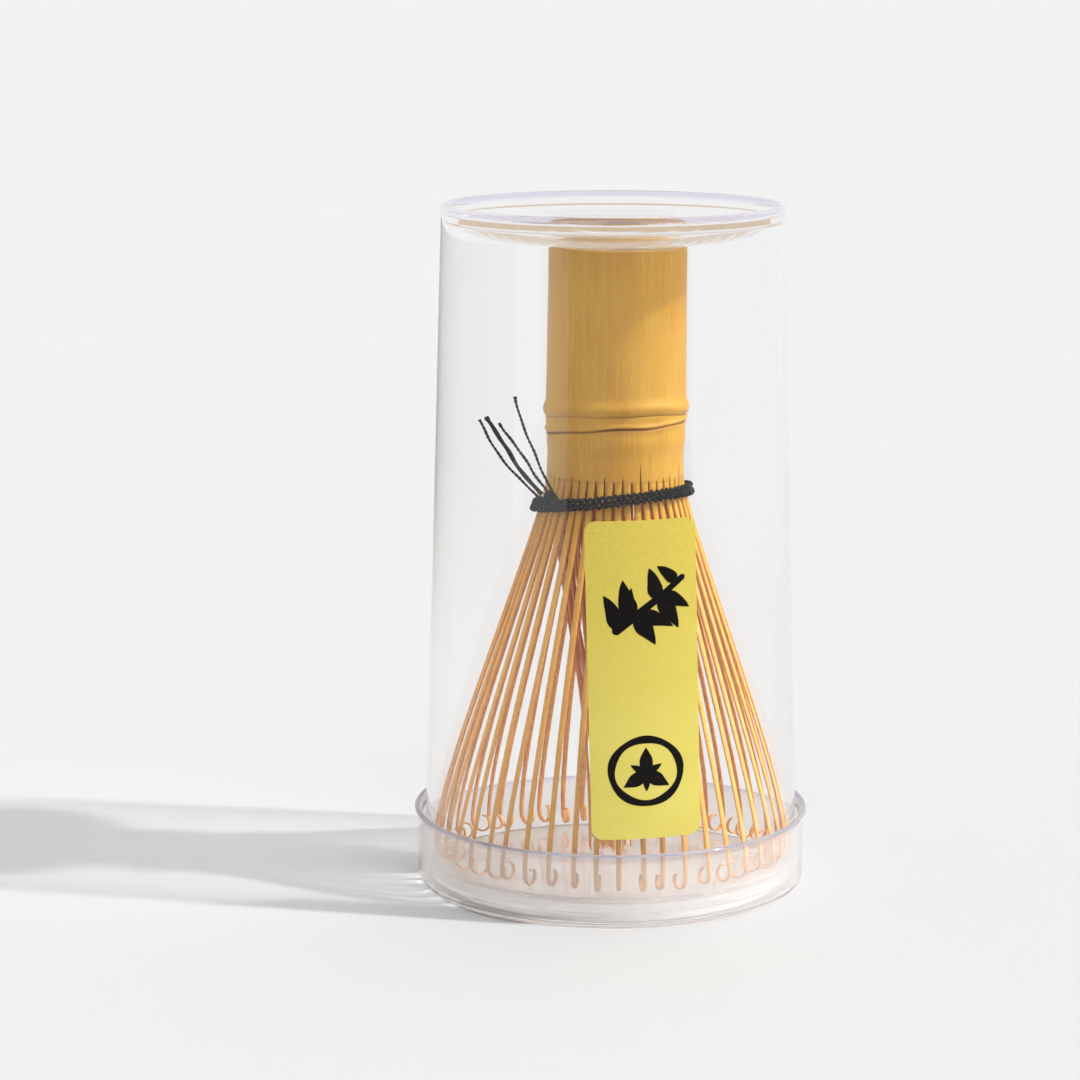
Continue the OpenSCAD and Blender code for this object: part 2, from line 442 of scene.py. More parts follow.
def clear_plastic(name, tint, edge_tint, cloud, rough, passed, passed_away, passed_glancing):
    """Clear plastic that bends light. Light from the lamps goes straight through it.

    The three last values are the share of that light each surface passes: in general, on the side
    away from the sun, and where the light meets it at a glancing angle.
    look: red is where the lamps' light is spread, green is the side away from the sun, blue is a
    thick edge.
    """
    n = Nodes(name)
    bend, away, edge = n.looks()
    scuffs = n.noise(n.place((1, 1, 0.35)), 9, 5)
    specks = n.noise(n.place(), 0.6, 2)
    n.set(Base_Color=n.colours(edge, tint, edge_tint), Transmission_Weight=1 - cloud, IOR=1.47)
    dull = n.ramp(scuffs, 0.35, 0.75, rough * 0.6, rough * 1.6)
    n.set(Roughness=n.maths("ADD", dull, n.ramp(specks, 0.72, 0.8, 0, rough)))
    n.bump(n.noise(n.place((1, 1, 0.25)), 14, 2), 0.012)
    facing = n.make("ShaderNodeLayerWeight")
    facing.inputs["Blend"].default_value = 0.5
    glancing = n.maths("POWER", facing.outputs["Facing"], 3.0)
    light = n.colours(away, grey(passed), grey(passed_away))
    light = n.colours(glancing, light, grey(passed_glancing))
    light = n.colours(bend, light, grey(SPREAD_LIGHT))
    through_it = n.make("ShaderNodeBsdfTransparent")
    n.link(light, through_it.inputs[0])
    chooser = n.make("ShaderNodeMixShader")
    n.link(n.make("ShaderNodeLightPath").outputs["Is Shadow Ray"], chooser.inputs[0])
    n.link(n.shader.outputs[0], chooser.inputs[1])
    n.link(through_it.outputs[0], chooser.inputs[2])
    n.link(chooser.outputs[0], n.output.inputs["Surface"])
    return n.material


def bamboo_skin(n):
    """The colours of polished bamboo, with fine fibres that run down it, and the fibres' own pattern."""
    along = n.place((1, 1, 0.03))
    fibres = n.noise(along, 0.3, 6, 0.65)
    bands = n.noise(along, 3.5, 3)
    cloud = n.noise(n.place((1, 1, 0.4)), 12, 3)
    flecks = n.noise(n.place((1, 1, 0.5)), 0.42, 2)
    skin = n.colours(n.ramp(fibres, 0.3, 0.7), colour(213, 153, 42), colour(228, 176, 62))
    skin = n.colours(n.ramp(bands, 0.35, 0.7, 0, 0.5), skin, colour(208, 145, 42))
    skin = n.colours(n.ramp(cloud, 0.42, 0.68, 0, 0.5), skin, colour(227, 178, 74))
    skin = n.colours(n.ramp(flecks, 0.66, 0.76, 0, 0.4), skin, colour(244, 214, 146))
    skin = n.colours(n.ramp(flecks, 0.34, 0.27, 0, 0.3), skin, colour(170, 116, 50))
    return skin, fibres, flecks


def handle_material():
    """Polished bamboo. look: red is the scar's line, green is cut wood, blue is painted shade in the bore,
    the hollow under the node and the tops of the splits.
    """
    n = Nodes("bamboo_skin")
    scar, cut, inside = n.looks()
    skin, fibres, flecks = bamboo_skin(n)
    skin = n.colours(scar, skin, colour(104, 44, 22))
    grain = n.noise(n.place(), 0.35, 3)
    wood = n.colours(n.ramp(grain, 0.35, 0.65), colour(204, 160, 92), colour(230, 194, 132))
    skin = n.colours(cut, skin, wood)
    # Painted shade: the bore, the hollow under the node and the tops of the splits are darkened to brown
    skin = n.colours(inside, skin, colour(156, 92, 40))
    n.set(Base_Color=skin, Specular_IOR_Level=0.4)
    n.set(Roughness=n.ramp(fibres, 0.3, 0.7, 0.34, 0.48))
    n.bump(n.maths("ADD", fibres, n.maths("MULTIPLY", flecks, 0.4)), 0.03, 0.5)
    return n.material


def tine_material(name, skin_a, skin_b, side_a, side_b):
    """Split bamboo.

    look: red is skin, green is the way down from root to tip, blue differs from tine to tine.
    """
    n = Nodes(name)
    skin_share, down, own = n.looks()
    fibres = n.noise(n.place((1, 1, 0.06)), 0.3, 5, 0.6)
    stains = n.noise(n.place((1, 1, 0.3)), 5, 3)
    skin = n.colours(n.ramp(fibres, 0.3, 0.7), skin_a, skin_b)
    skin = n.colours(n.ramp(own, 0.2, 1.0, 0, 0.35), skin, side_b)
    skin = n.colours(n.ramp(down, 0.08, 0.3, 1, 0), skin, bamboo_skin(n)[0])
    side = n.colours(n.ramp(fibres, 0.35, 0.65), side_a, side_b)
    wood = n.colours(skin_share, side, skin)
    wood = n.colours(n.ramp(down, 0.7, 1.0, 0, 0.4), wood, colour(240, 188, 120))
    wood = n.colours(n.ramp(stains, 0.6, 0.74, 0, 0.3), wood, side_a)
    n.set(Base_Color=wood, Specular_IOR_Level=0.35)
    n.set(Roughness=n.ramp(fibres, 0.3, 0.7, 0.42, 0.6))
    n.bump(fibres, 0.03, 0.5)
    return n.material


def thread_material():
    n = Nodes("black_cotton")
    lint = n.noise(n.place(), 0.12, 4)
    tone = n.colours(n.ramp(lint, 0.45, 0.8), (0.004, 0.004, 0.005, 1), (0.075, 0.075, 0.08, 1))
    n.set(Base_Color=tone, Roughness=0.85, Sheen_Weight=0.08, Sheen_Roughness=0.5)
    n.set(Sheen_Tint=(0.5, 0.5, 0.55, 1.0), Specular_IOR_Level=0.12)
    n.bump(lint, 0.06, 0.9)
    return n.material


def paper_material():
    n = Nodes("yellow_paper")
    pulp = n.noise(n.place(), 0.7, 5, 0.65)
    fibres = n.noise(n.place((0.35, 0.35, 1)), 0.3, 4, 0.6, 0.8)
    clouds = n.noise(n.place((0.5, 0.5, 1)), 7, 2)
    height = n.make("ShaderNodeSeparateXYZ")
    n.link(n.place(), height.inputs[0])
    up = n.ramp(height.outputs["Z"], (LABEL_Z - LABEL_H / 2) * MM, (LABEL_Z + LABEL_H / 2) * MM)
    tone = n.colours(up, colour(228, 215, 112), colour(214, 192, 82))
    tone = n.colours(n.ramp(pulp, 0.3, 0.7, 0, 0.5), tone, colour(226, 208, 98))
    tone = n.colours(n.ramp(fibres, 0.5, 0.75, 0, 0.35), tone, colour(236, 224, 128))
    tone = n.colours(n.ramp(clouds, 0.4, 0.65, 0, 0.25), tone, colour(218, 198, 84))
    n.set(Base_Color=tone, Roughness=0.8, Specular_IOR_Level=0.2)
    n.bump(n.maths("ADD", pulp, fibres), 0.025, 0.6)
    return n.material


def ink_material():
    n = Nodes("black_ink")
    worn = n.noise(n.place(), 0.4, 4, 0.7)
    tone = n.colours(n.ramp(worn, 0.62, 0.72, 0, 0.7), (0.008, 0.006, 0.006, 1), colour(96, 88, 48))
    n.set(Base_Color=tone, Roughness=n.ramp(worn, 0.3, 0.7, 0.6, 0.75), Specular_IOR_Level=0.1)
    n.bump(worn, 0.01, 0.5)
    return n.material


# The floor's own lightness, set so that the lit floor looks the same as the surroundings
FLOOR_LIGHT = 0.686


def floor_material():
    n = Nodes("paper_sweep")
    tone = n.noise(n.place(), 60, 2)
    n.set(Base_Color=n.colours(tone, grey(FLOOR_LIGHT - 0.004), grey(FLOOR_LIGHT + 0.004)))
    n.set(Roughness=0.9, Specular_IOR_Level=0.0)
    return n.material


# ---------------------------------------------------------------- case

def tube_r(z):
    taper = (TUBE_OPEN_R - TUBE_CLOSED_R) / (CASE_H - TUBE_FOOT_Z)
    return TUBE_OPEN_R - taper * (z - TUBE_FOOT_Z)


def dish_z(r):
    return DISH_LOW_Z + DISH_DEPTH * (r / DISH_R) ** DISH_POWER


def dish(lift, rim_r, steps=48):
    """The closed end's surface from its rim to the axis, finer towards the rim."""
    radii = [rim_r * math.cos(math.pi / 2 * i / steps) for i in range(steps)] + [0]
    return [(r, dish_z(r) + lift) for r in radii]


# Height of the thick edge at the top of the tube
EDGE_H = 1.6
# The closed end's middle, which spreads light, out to this radius
SPREAD_R_IN, SPREAD_R_OUT = 23.4, 24.6


def ramp_up(x, low, high):
    return smooth((x - low) / (high - low))


def away_from_sun(turn):
    return ramp_up(-math.cos(math.radians(turn - SUN_TURN)), 0, 0.4)


def tube_look(r, turn, z):
    """The closed end's middle spreads light, and its rim is solid plastic."""
    in_dish = r < DISH_R + 0.2 and z > DISH_LOW_Z - 0.1
    spread = 1 - ramp_up(r, SPREAD_R_IN, SPREAD_R_OUT) if in_dish else 0
    return (spread, away_from_sun(turn), ramp_up(z, CASE_H - EDGE_H, CASE_H - 0.9))


def case_tube(material):
    corner_z = dish_z(DISH_R - CORNER_GAP) - CORNER_GAP
    rim = arc((TUBE_CLOSED_R - RIM_ROUND, CASE_H - RIM_ROUND), RIM_ROUND, 0, 120, 10)
    outline = [(TUBE_OPEN_R - TUBE_WALL, TUBE_FOOT_Z), (TUBE_OPEN_R, TUBE_FOOT_Z)]
    outline += [(tube_r(z), z) for z in (CASE_H - 2.6, CASE_H - EDGE_H, CASE_H - 0.9)]
    outline += rim + dish(TUBE_WALL, DISH_R) + dish(0, DISH_R - CORNER_GAP)[::-1]
    outline += [(tube_r(z) - TUBE_WALL, z) for z in (corner_z, corner_z - 0.5)]
    shape = lathe(rounded(outline, 0.25), 256, look=tube_look)
    place_piece(mesh_piece("case_tube_clear", shape, material), "case", "tube_plastic", "case_tube")


def lid_look(r, turn, z):
    return (0, 0, ramp_up(z, LID_H - 0.9, LID_H - 0.2))


def case_lid(material):
    under_z = FLOOR_Z - LID_WALL
    wall_in_r = LID_R - LID_WALL
    outline = [(0, under_z), (FOOT_IN_R - FLOOR_BEVEL, under_z), (FOOT_IN_R, under_z - FLOOR_BEVEL)]
    outline += [(FOOT_IN_R, 0)] + arc((LID_R - FOOT_ROUND, FOOT_ROUND), FOOT_ROUND, -90, 0, 10)
    outline += [(LID_R, LID_H - LIP_H), (LIP_OUT_R, LID_H - LIP_BEVEL), (LIP_OUT_R - LIP_BEVEL, LID_H)]
    outline += [(LIP_OUT_R - LID_WALL, LID_H), (wall_in_r, LID_H - LIP_H)]
    inner_round = FOOT_ROUND - LID_WALL
    outline += arc((LID_R - FOOT_ROUND, CHANNEL_Z + inner_round), inner_round, 0, -90, 6)
    outline += [(FLOOR_R, CHANNEL_Z), (FLOOR_R, FLOOR_Z - FLOOR_BEVEL)]
    outline += [(FLOOR_R - FLOOR_BEVEL, FLOOR_Z), (0, FLOOR_Z)]
    shape = lathe(rounded(outline, 0.22), 256, look=lid_look)
    place_piece(mesh_piece("case_lid_clear", shape, material), "lid", "lid_plastic", "case_lid")


# ---------------------------------------------------------------- label

def label_point(u, v, lift):
    """A place on the label: u across and v up from its middle, lift above the tube."""
    x = u * math.cos(LABEL_TILT) - v * math.sin(LABEL_TILT)
    z = LABEL_Z + u * math.sin(LABEL_TILT) + v * math.cos(LABEL_TILT)
    r = tube_r(z) + lift
    return Matrix.Rotation(math.radians(LABEL_TURN), 3, "Z") @ Vector((x, -math.sqrt(r * r - x * x), z))


def label(material):
    columns, rows = 32, 96
    shape = Shape()
    sheets = []
    for lift in (LABEL_LIFT, LABEL_LIFT + LABEL_T):
        sheet = []
        for i in range(rows + 1):
            v = LABEL_H / 2 * math.sin(math.pi * (i / rows - 0.5))
            past = max(0.0, abs(v) - (LABEL_H / 2 - LABEL_CORNER))
            half = LABEL_W / 2 - LABEL_CORNER + math.sqrt(max(0.0, LABEL_CORNER ** 2 - past ** 2))
            sheet.append([shape.add(label_point(half * (2 * k / columns - 1), v, lift))
                          for k in range(columns + 1)])
        for a, b in zip(sheet, sheet[1:]):
            shape.bridge(a, b, closed=False)
        sheets.append(sheet)
    rims = []
    for sheet in sheets:
        right, left = [row[-1] for row in sheet[1:-1]], [row[0] for row in sheet[-2:0:-1]]
        rims.append(sheet[0] + right + sheet[-1][::-1] + left)
    shape.bridge(rims[0], rims[1])
    place_piece(mesh_piece("label_paper", shape, material), "case", "label_paper", "label")


# The ink lies on the paper
INK_LIFT = LABEL_LIFT + LABEL_T


def stroke(shape, line, half_widths, level):
    """A flat brush stroke on the label along line, a list of places (u, v), pressed on at that level."""
    line = [Vector(p) for p in line]
    height = 0.035 + 0.002 * level
    splits = 6
    tops, bottoms = [], []
    for p, d, half in zip(line, directions(line), half_widths):
        side = Vector((-d.y, d.x))
        spots = [p + side * half * (2 * k / splits - 1) for k in range(splits + 1)]
        tops.append([shape.add(label_point(s.x, s.y, INK_LIFT + height)) for s in spots])
        bottoms.append([shape.add(label_point(s.x, s.y, INK_LIFT - 0.05)) for s in spots])
    for rows in (tops, bottoms):
        for a, b in zip(rows, rows[1:]):
            shape.bridge(a, b, closed=False)
    for edge in (0, -1):
        shape.bridge([r[edge] for r in tops], [r[edge] for r in bottoms], closed=False)
        shape.bridge(tops[edge], bottoms[edge], closed=False)


def leaf(shape, foot, heading, length, width, bend, level):
    """A bamboo leaf: broad near its foot and drawn to a point, bending by that many degrees."""
    steps = 22
    line, widths = [Vector(foot)], []
    for i in range(steps):
        a = math.radians(heading + bend * i / steps)
        line.append(line[-1] + length / steps * Vector((math.cos(a), math.sin(a))))
    for i in range(steps + 1):
        t = i / steps
        body = math.sin(math.pi * min(1.0, 0.08 + t ** 0.72 * 0.92)) ** 0.85
        widths.append(max(0.05, width / 2 * body * (1 + 0.06 * math.sin(9 * t + heading))))
    stroke(shape, line, widths, level)


def bar(shape, start, end, half, level, bow=0.0):
    """A straight or bowed stroke with round ends."""
    start, end = Vector(start), Vector(end)
    side = Vector((start.y - end.y, end.x - start.x)).normalized()
    steps = 18
    line, widths = [], []
    for i in range(steps + 1):
        t = i / steps
        line.append(start.lerp(end, t) + side * bow * math.sin(math.pi * t))
        from_end = min(t, 1 - t) * (end - start).length
        widths.append(half * math.sqrt(max(0.04, 1 - max(0.0, 1 - from_end / half) ** 2)))
    stroke(shape, line, widths, level)


# Heights of the two prints on the label, from its middle
SPRIG_V = 13.4
CREST_V = -16.3


def label_sprig(material):
    """A sprig of bamboo leaves, printed in black."""
    shape = Shape()
    joints = [(-5.4, -4.8), (-1.6, -1.9), (2.8, 1.2), (7.6, 5.0)]
    for i, (a, b) in enumerate(zip(joints, joints[1:])):
        bar(shape, (a[0], a[1] + SPRIG_V), (b[0], b[1] + SPRIG_V), 0.78 - 0.12 * i, i)
    leaves = [
        (-4.5, -4.2, 100, 6.6, 2.9, 24), (-4.0, -3.9, 66, 7.4, 2.9, 18), (-1.9, -2.2, 112, 7.0, 3.1, -18),
        (-1.5, -2.0, -46, 6.2, 3.0, -18), (-1.0, -1.7, -8, 6.8, 2.7, -24), (2.4, 1.1, 94, 5.6, 2.7, 18),
        (2.9, 1.3, -52, 6.6, 2.9, -14), (3.3, 1.6, -14, 5.6, 2.6, -22), (6.0, 4.0, 132, 4.4, 2.2, 16),
    ]
    for i, (u, v, heading, length, width, bend) in enumerate(leaves):
        leaf(shape, (u, v + SPRIG_V), heading, length, width, bend, 4 + i)
    place_piece(mesh_piece("label_sprig", shape, material), "case", None)


def label_crest(material):
    """A plain round crest of three leaves in a ring, printed in black."""
    shape = Shape()
    ring_r, steps = 5.75, 72
    ring = [(ring_r * math.cos(2 * math.pi * i / steps) * 1.08,
             ring_r * math.sin(2 * math.pi * i / steps) + CREST_V) for i in range(steps + 1)]
    stroke(shape, ring, [0.62 + 0.09 * math.sin(5 * 2 * math.pi * i / steps) for i in range(steps + 1)], 0)
    for i in range(3):
        leaf(shape, (0, CREST_V - 0.4), 90 + 120 * i, 4.7, 2.5, 0, 1 + 2 * i)
        leaf(shape, (0, CREST_V - 0.4), 30 + 120 * i, 3.2, 1.5, 0, 2 + 2 * i)
    place_piece(mesh_piece("label_crest", shape, material), "case", None)


# ---------------------------------------------------------------- whisk

LEAN = (Matrix.Translation((0, 0, FLOOR_Z)) @ Matrix.Rotation(WHISK_LEAN, 4, "Y")
        @ Matrix.Translation((0, 0, -FLOOR_Z)))

# Radius of the handle's skin at each height, without the node's ridge and scar
SKIN = [(77, 12.55), (81, 12.45), (84.5, 12.72), (87, 12.78), (92, 12.82), (97, 12.75), (104, 12.68),
        (112, 12.6), (118.5, 12.58)]


def ring_height(z, rise_x, rise_front, r, turn):
    """The height of a tilted ring that is at z over the axis."""
    p = polar(r, turn, 0)
    return z + math.tan(math.radians(rise_x)) * p.x - math.tan(math.radians(rise_front)) * p.y


def hump(x, width):
    return math.exp(-(x / width) ** 2)


def scar_height(turn):
    wander = 0.22 * math.sin(math.radians(3 * turn + 40)) + 0.1 * math.sin(math.radians(7 * turn))
    return ring_height(86.3, 4.9, 1.5, CULM_R, turn) + wander


def ridge_height(turn):
    return ring_height(89.3, 1.3, 5.0, CULM_R, turn) + 0.1 * math.sin(math.radians(5 * turn + 20))


# Columns of the handle's mesh for each tine
SKIN_COLUMNS = 10


def notch_height(turn):
    """How high the split between two tines reaches at this turn. It is a narrow V."""
    place = (turn - FIRST_TINE) / TINE_TURN - 0.5
    nearest = round(place)
    own = random.Random(nearest % (SECTIONS * TINES_PER_SECTION))
    top = SPLIT_Z + 0.5 + 1.2 * own.random() ** 2 + (2.6 if own.random() > 0.88 else 0)
    half = 1 / SKIN_COLUMNS
    return mix(top, SPLIT_Z, min(1.0, abs(place - nearest) / half))


def handle_skin(r, turn, z):
    """Where a point of the handle's outline goes: the skin follows the ridge, the scar and the splits."""
    z = max(z, notch_height(turn)) if z < SPLIT_Z + 6 else z
    if r > CAVITY_R + 1.5 and z < HANDLE_TOP_Z - 0.6:
        to_scar, to_ridge = z - scar_height(turn), z - ridge_height(turn)
        r = through(SKIN, z)
        r += 0.55 * hump(to_ridge, 1.15) - 0.16 * hump(to_ridge + 1.35, 0.22)
        r += 0.24 * hump(to_scar - 0.35, 0.4) - 0.3 * hump(to_scar + 0.12, 0.16)
        r -= 0.1 * hump(to_scar + 1.2, 0.8)
        r += 0.05 * noise.noise(polar(0.35, turn, z * 0.02)) + 0.04 * math.cos(math.radians(2 * turn + 50))
    return polar(r, turn, z)


def handle_look(r, turn, z):
    if r < 1e-6 or z > HANDLE_TOP_Z - 0.25 and r < CULM_R - 0.25 and r > BORE_R + 0.05:
        return (0, 1, 0)
    # Painted shade: the bore and the hollow under the node get blue, the dark brown
    if r <= CAVITY_R + 0.3:
        return (0, 0.6, 1)
    to_scar, to_ridge = z - scar_height(turn), z - ridge_height(turn)
    strength = 0.75 + 0.25 * math.sin(math.radians(turn * 4 + 60))
    line = strength * hump(to_scar + 0.12, 0.2) + 0.5 * strength * hump(to_ridge + 1.35, 0.18)
    # blue near the top of each split is painted shade in the crease between the tines
    return (min(1.0, line), 0, 0.35 * hump(z - notch_height(turn), 0.25) if z < SPLIT_Z + 5 else 0)


def handle(material):
    outline = [(0, NODE_WALL_LOW_Z), (CAVITY_R, NODE_WALL_LOW_Z), (CAVITY_R, SPLIT_Z)]
    z = SPLIT_Z
    while z < HANDLE_TOP_Z - 0.7:
        outline.append((CULM_R, z))
        z += 0.12 if 82 < z < 92.5 else (0.35 if z < 82 else 1.0)
    skin_r = through(SKIN, HANDLE_TOP_Z)
    top = [(skin_r, HANDLE_TOP_Z - 0.5), (skin_r, HANDLE_TOP_Z), (BORE_R, HANDLE_TOP_Z)]
    rim = rounded(top + [(BORE_R, 100)], 0.28, 5)[1:-1]
    outline += [tuple(p) for p in rim if p[1] > HANDLE_TOP_Z - 0.6]
    cut_rings = [mix(skin_r - 0.5, BORE_R + 0.5, i / 6) for i in range(7)]
    at = next(i for i, p in enumerate(outline) if p[1] > HANDLE_TOP_Z - 0.01 and p[0] < skin_r - 0.2)
    outline[at + 1:at + 1] = [(r, HANDLE_TOP_Z) for r in cut_rings[1:-1]]
    outline += [(BORE_R, mix(HANDLE_TOP_Z - 1, NODE_WALL_HIGH_Z, i / 8)) for i in range(9)]
    outline += [(0, NODE_WALL_HIGH_Z)]
    columns = SECTIONS * TINES_PER_SECTION * SKIN_COLUMNS
    shape = lathe(outline, columns, handle_skin, handle_look, FIRST_TINE)
    piece = mesh_piece("handle_bamboo", shape, material, LEAN, 50)
    place_piece(piece, "whisk", "bamboo_handle", "handle")


def strip(shape, path, turn, sways, widths, thicknesses, own):
    """A bevelled strip along a path of (radius, height) at that turn, swaying sideways."""
    radial, tangential = polar(1, turn, 0), polar(1, turn + 90, 0)
    headings = directions([Vector(p) for p in path])
    headings[0] = Vector((0, -1))
    rings = []
    for i, (p, d, sway, w, t) in enumerate(zip(path, headings, sways, widths, thicknesses)):
        out = radial * -d.y + Vector((0, 0, d.x))
        middle = radial * p[0] + Vector((0, 0, p[1])) + tangential * sway
        c = min(0.09, 0.3 * t)
        half = [(w / 2 - c, t / 2, 1), (w / 2, t / 2 - c, 0.6)]
        half += [(w / 2, c - t / 2, 0), (w / 2 - c, -t / 2, 0)]
        section = half + [(-x, y, skin) for x, y, skin in half[::-1]]
        down = i / (len(path) - 1)
        rings.append([shape.add(middle + tangential * x + out * y, (skin, down, own))
                      for x, y, skin in section])
    for a, b in zip(rings, rings[1:]):
        shape.bridge(a, b)
    shape.cap(rings[0])
    shape.cap(rings[-1])


def outer_path(own):
    """The line of one outer tine, with a curl of its own."""
    hook_r = HOOK_R * own.uniform(0.88, 1.08)
    tip_r = HOOK_TIP_R * own.uniform(0.82, 1.0)
    low_z = TINE_LOW_Z + own.uniform(0, 0.6) + hook_r + OUTER_TIP_T / 2
    spread = SPREAD_R - own.uniform(0, 0.5)
    lift = own.uniform(-0.8, 0.8)
    shank = curve([(OUTER_ROOT_R, SPLIT_Z), (OUTER_ROOT_R, SPLIT_Z - 6.5),
                   (spread, low_z + 14 + lift), (spread, low_z)], 34)
    wide_turn, tight_turn = own.uniform(112, 128), own.uniform(120, 185)
    centre = Vector((spread - hook_r, low_z))
    tight_centre = on_circle(centre, hook_r - tip_r, -wide_turn)
    wide = arc(centre, hook_r, 0, -wide_turn, 10)[1:]
    tight = arc(tight_centre, tip_r, -wide_turn, -wide_turn - tight_turn, 12)[1:]
    return shank + wide + tight, len(shank)


def outer_tines(section, material):
    shape = Shape()
    for i in range(TINES_PER_SECTION):
        index = (section - 1) * TINES_PER_SECTION + i
        own = random.Random(500 + index)
        path, shank = outer_path(own)
        bow, end, curl = own.uniform(-0.3, 0.3), own.uniform(-0.55, 0.55), own.uniform(-0.7, 0.7)
        sways, widths, thicknesses = [], [], []
        for k in range(len(path)):
            t = min(1.0, k / (shank - 1))
            hook = max(0.0, (k - shank + 1) / (len(path) - shank))
            sways.append(bow * math.sin(math.pi * t) + end * t ** 2.5 + curl * hook)
            widths.append(through([(0, 1.34), (0.1, 1.12), (0.5, 1.08), (0.85, 0.98), (1.0, 0.84)], t)
                          - 0.16 * hook)
            thicknesses.append(mix(OUTER_ROOT_T, 0.32, smooth(t * 1.15)) - 0.08 * hook)
        turn = FIRST_TINE + index * TINE_TURN
        strip(shape, path, turn, sways, widths, thicknesses, own.random())
    name = f"outer_tines_{section:02d}"
    piece = mesh_piece(name + "_strips", shape, material, LEAN, 50)
    place_piece(piece, "whisk", "bamboo_outer_tines", name)


def inner_tines(section, material):
    shape = Shape()
    for i in range(TINES_PER_SECTION):
        index = (section - 1) * TINES_PER_SECTION + i
        own = random.Random(900 + index)
        end_r = BUNDLE_R - i * BUNDLE_STEP + own.uniform(-0.25, 0.15)
        low_z = BUNDLE_LOW_Z + own.uniform(0, 2.4)
        path = curve([(INNER_ROOT_R, SPLIT_Z), (INNER_ROOT_R, 53),
                      (end_r, 38 + own.uniform(-2, 2)), (end_r, low_z)], 26)
        bow, end = own.uniform(-0.5, 0.5), own.uniform(-0.5, 0.5)
        steps = [k / (len(path) - 1) for k in range(len(path))]
        sways = [bow * math.sin(math.pi * t) * t + end * t * t * 0.6 for t in steps]
        widths = [mix(0.7, 0.42, smooth(t * 2)) for t in steps]
        thicknesses = [mix(INNER_ROOT_T, INNER_TIP_T, t) for t in steps]
        turn = FIRST_TINE + (index + 0.5) * TINE_TURN
        strip(shape, path, turn, sways, widths, thicknesses, own.random())
    name = f"inner_tines_{section:02d}"
    piece = mesh_piece(name + "_strips", shape, material, LEAN, 50)
    place_piece(piece, "whisk", "bamboo_inner_tines", name)


# ---------------------------------------------------------------- thread

def thread_place(out_r, turn, rise):
    """A place on the cone of the binding: out_r from its own middle, rise above its middle round."""
    r = ROUND_R + out_r - rise * TINE_SLOPE
    p = polar(r, turn, 0) + Vector((-TINE_SLOPE * RISE_X * ROUND_R, TINE_SLOPE * RISE_FRONT * ROUND_R, 0))
    p.z = THREAD_Z + RISE_X * p.x - RISE_FRONT * p.y + rise
    return p


def thread_round(number, material):
    """One of three strands plaited round the whisk."""
    shape = Shape()
    plaits, steps = 26, 26 * 30
    line, sideways = [], []
    for k in range(steps):
        turn = 360 * k / steps
        phase = math.radians(turn) * plaits + 2 * math.pi * number / 3
        jitter = 0.2 * noise.noise(Vector((math.cos(math.radians(turn)), math.sin(math.radians(turn)),
                                            number * 3.1)) * 5)
        out_r, rise = 0.3 * math.sin(2 * phase), 0.84 * math.sin(phase)
        line.append(thread_place(out_r + jitter, turn, rise + jitter))
        sideways.append(polar(1, turn, 0))
    yarn(shape, line, 0.86 * THREAD_R, 2, 1.9, closed=True, sideways=sideways)
    name = f"thread_round_{number}"
    place_piece(mesh_piece(name + "_strand", shape, material, LEAN, 70), "whisk", "thread", name)


def knot_middle():
    p = polar(KNOT_OUT_R, KNOT_TURN, 0)
    p.z = THREAD_Z + RISE_X * p.x - RISE_FRONT * p.y + KNOT_LIFT
    return p


def thread_knot(material):
    """Two loops of thread pulled tight through each other."""
    shape = Shape()
    middle = knot_middle()
    steps = 160
    for i, (tilt, size) in enumerate(((20, 0.56), (105, 0.5))):
        turned = Matrix.Rotation(math.radians(tilt), 3, "X") @ Matrix.Rotation(math.radians(60 * i), 3, "Z")
        line = []
        for k in range(steps):
            a = 2 * math.pi * k / steps
            x, y = math.sin(a) + 2 * math.sin(2 * a), math.cos(a) - 2 * math.cos(2 * a)
            p = turned @ Vector((x, y, -math.sin(3 * a))) * size
            line.append(middle + Vector((p.x, p.y, p.z * 1.15)) + Vector((0, 0, -0.5)))
        yarn(shape, line, 0.4, 2, 1.6, closed=True)
    piece = mesh_piece("thread_knot_loops", shape, material, LEAN, 70)
    place_piece(piece, "whisk", "thread", "thread_knot")


def tail_line(tail, steps):
    """Points along one loose tail, from the knot to its cut end."""
    heading, slope, bend, bend_r, radius, on_knot, rise = tail
    out = math.sqrt((KNOT_R + radius + TAIL_GAP) ** 2 - rise ** 2)
    start = knot_middle() + polar(out, KNOT_TURN + on_knot, rise)
    own = random.Random(round(heading * slope))
    phases = [own.uniform(0, 6) for _ in range(3)]
    line = []
    for k in range(-3, steps + 1):
        t = k / steps
        a = math.radians(slope - 90 + bend * t)
        flat = Vector((math.cos(a), math.sin(a))) - Vector((math.cos(math.radians(slope - 90)),
                                                            math.sin(math.radians(slope - 90))))
        flat *= bend_r
        ease = smooth(t * 3)
        wobble = 0.16 * ease * math.sin(7 * t + phases[0]) + 0.06 * ease * math.sin(19 * t + phases[1])
        side = 0.3 * ease * math.sin(5 * t + phases[2])
        p = polar(flat.x, heading, flat.y) + polar(wobble, heading, 0) + polar(side, heading + 90, 0)
        line.append(start + p)
    return line


def thread_tail(number, tail, material):
    shape = Shape()
    radius = tail[4]

    def swell(share):
        return 0.92 + 0.1 * math.sin(23 * share + number) + 0.3 * hump(share - 0.985, 0.02)

    yarn(shape, tail_line(tail, 90), radius, 4 if radius > 0.4 else 2, 1.7, swell=swell)
    name = f"thread_tail_{number}"
    place_piece(mesh_piece(name + "_yarn", shape, material, LEAN, 70), "whisk", "thread", name)


# ---------------------------------------------------------------- camera, floor and light

# Light goes to and fro many times in the curved closed end before it leaves
BOUNCES = 128
# Strength of the light all round, and of the dark part of the room
SURROUND, DARK_ROOM = 0.863, 0.03
# Distance and height of the dark cards beside the case, in millimetres
CARD_R, CARD_H = 90, 118
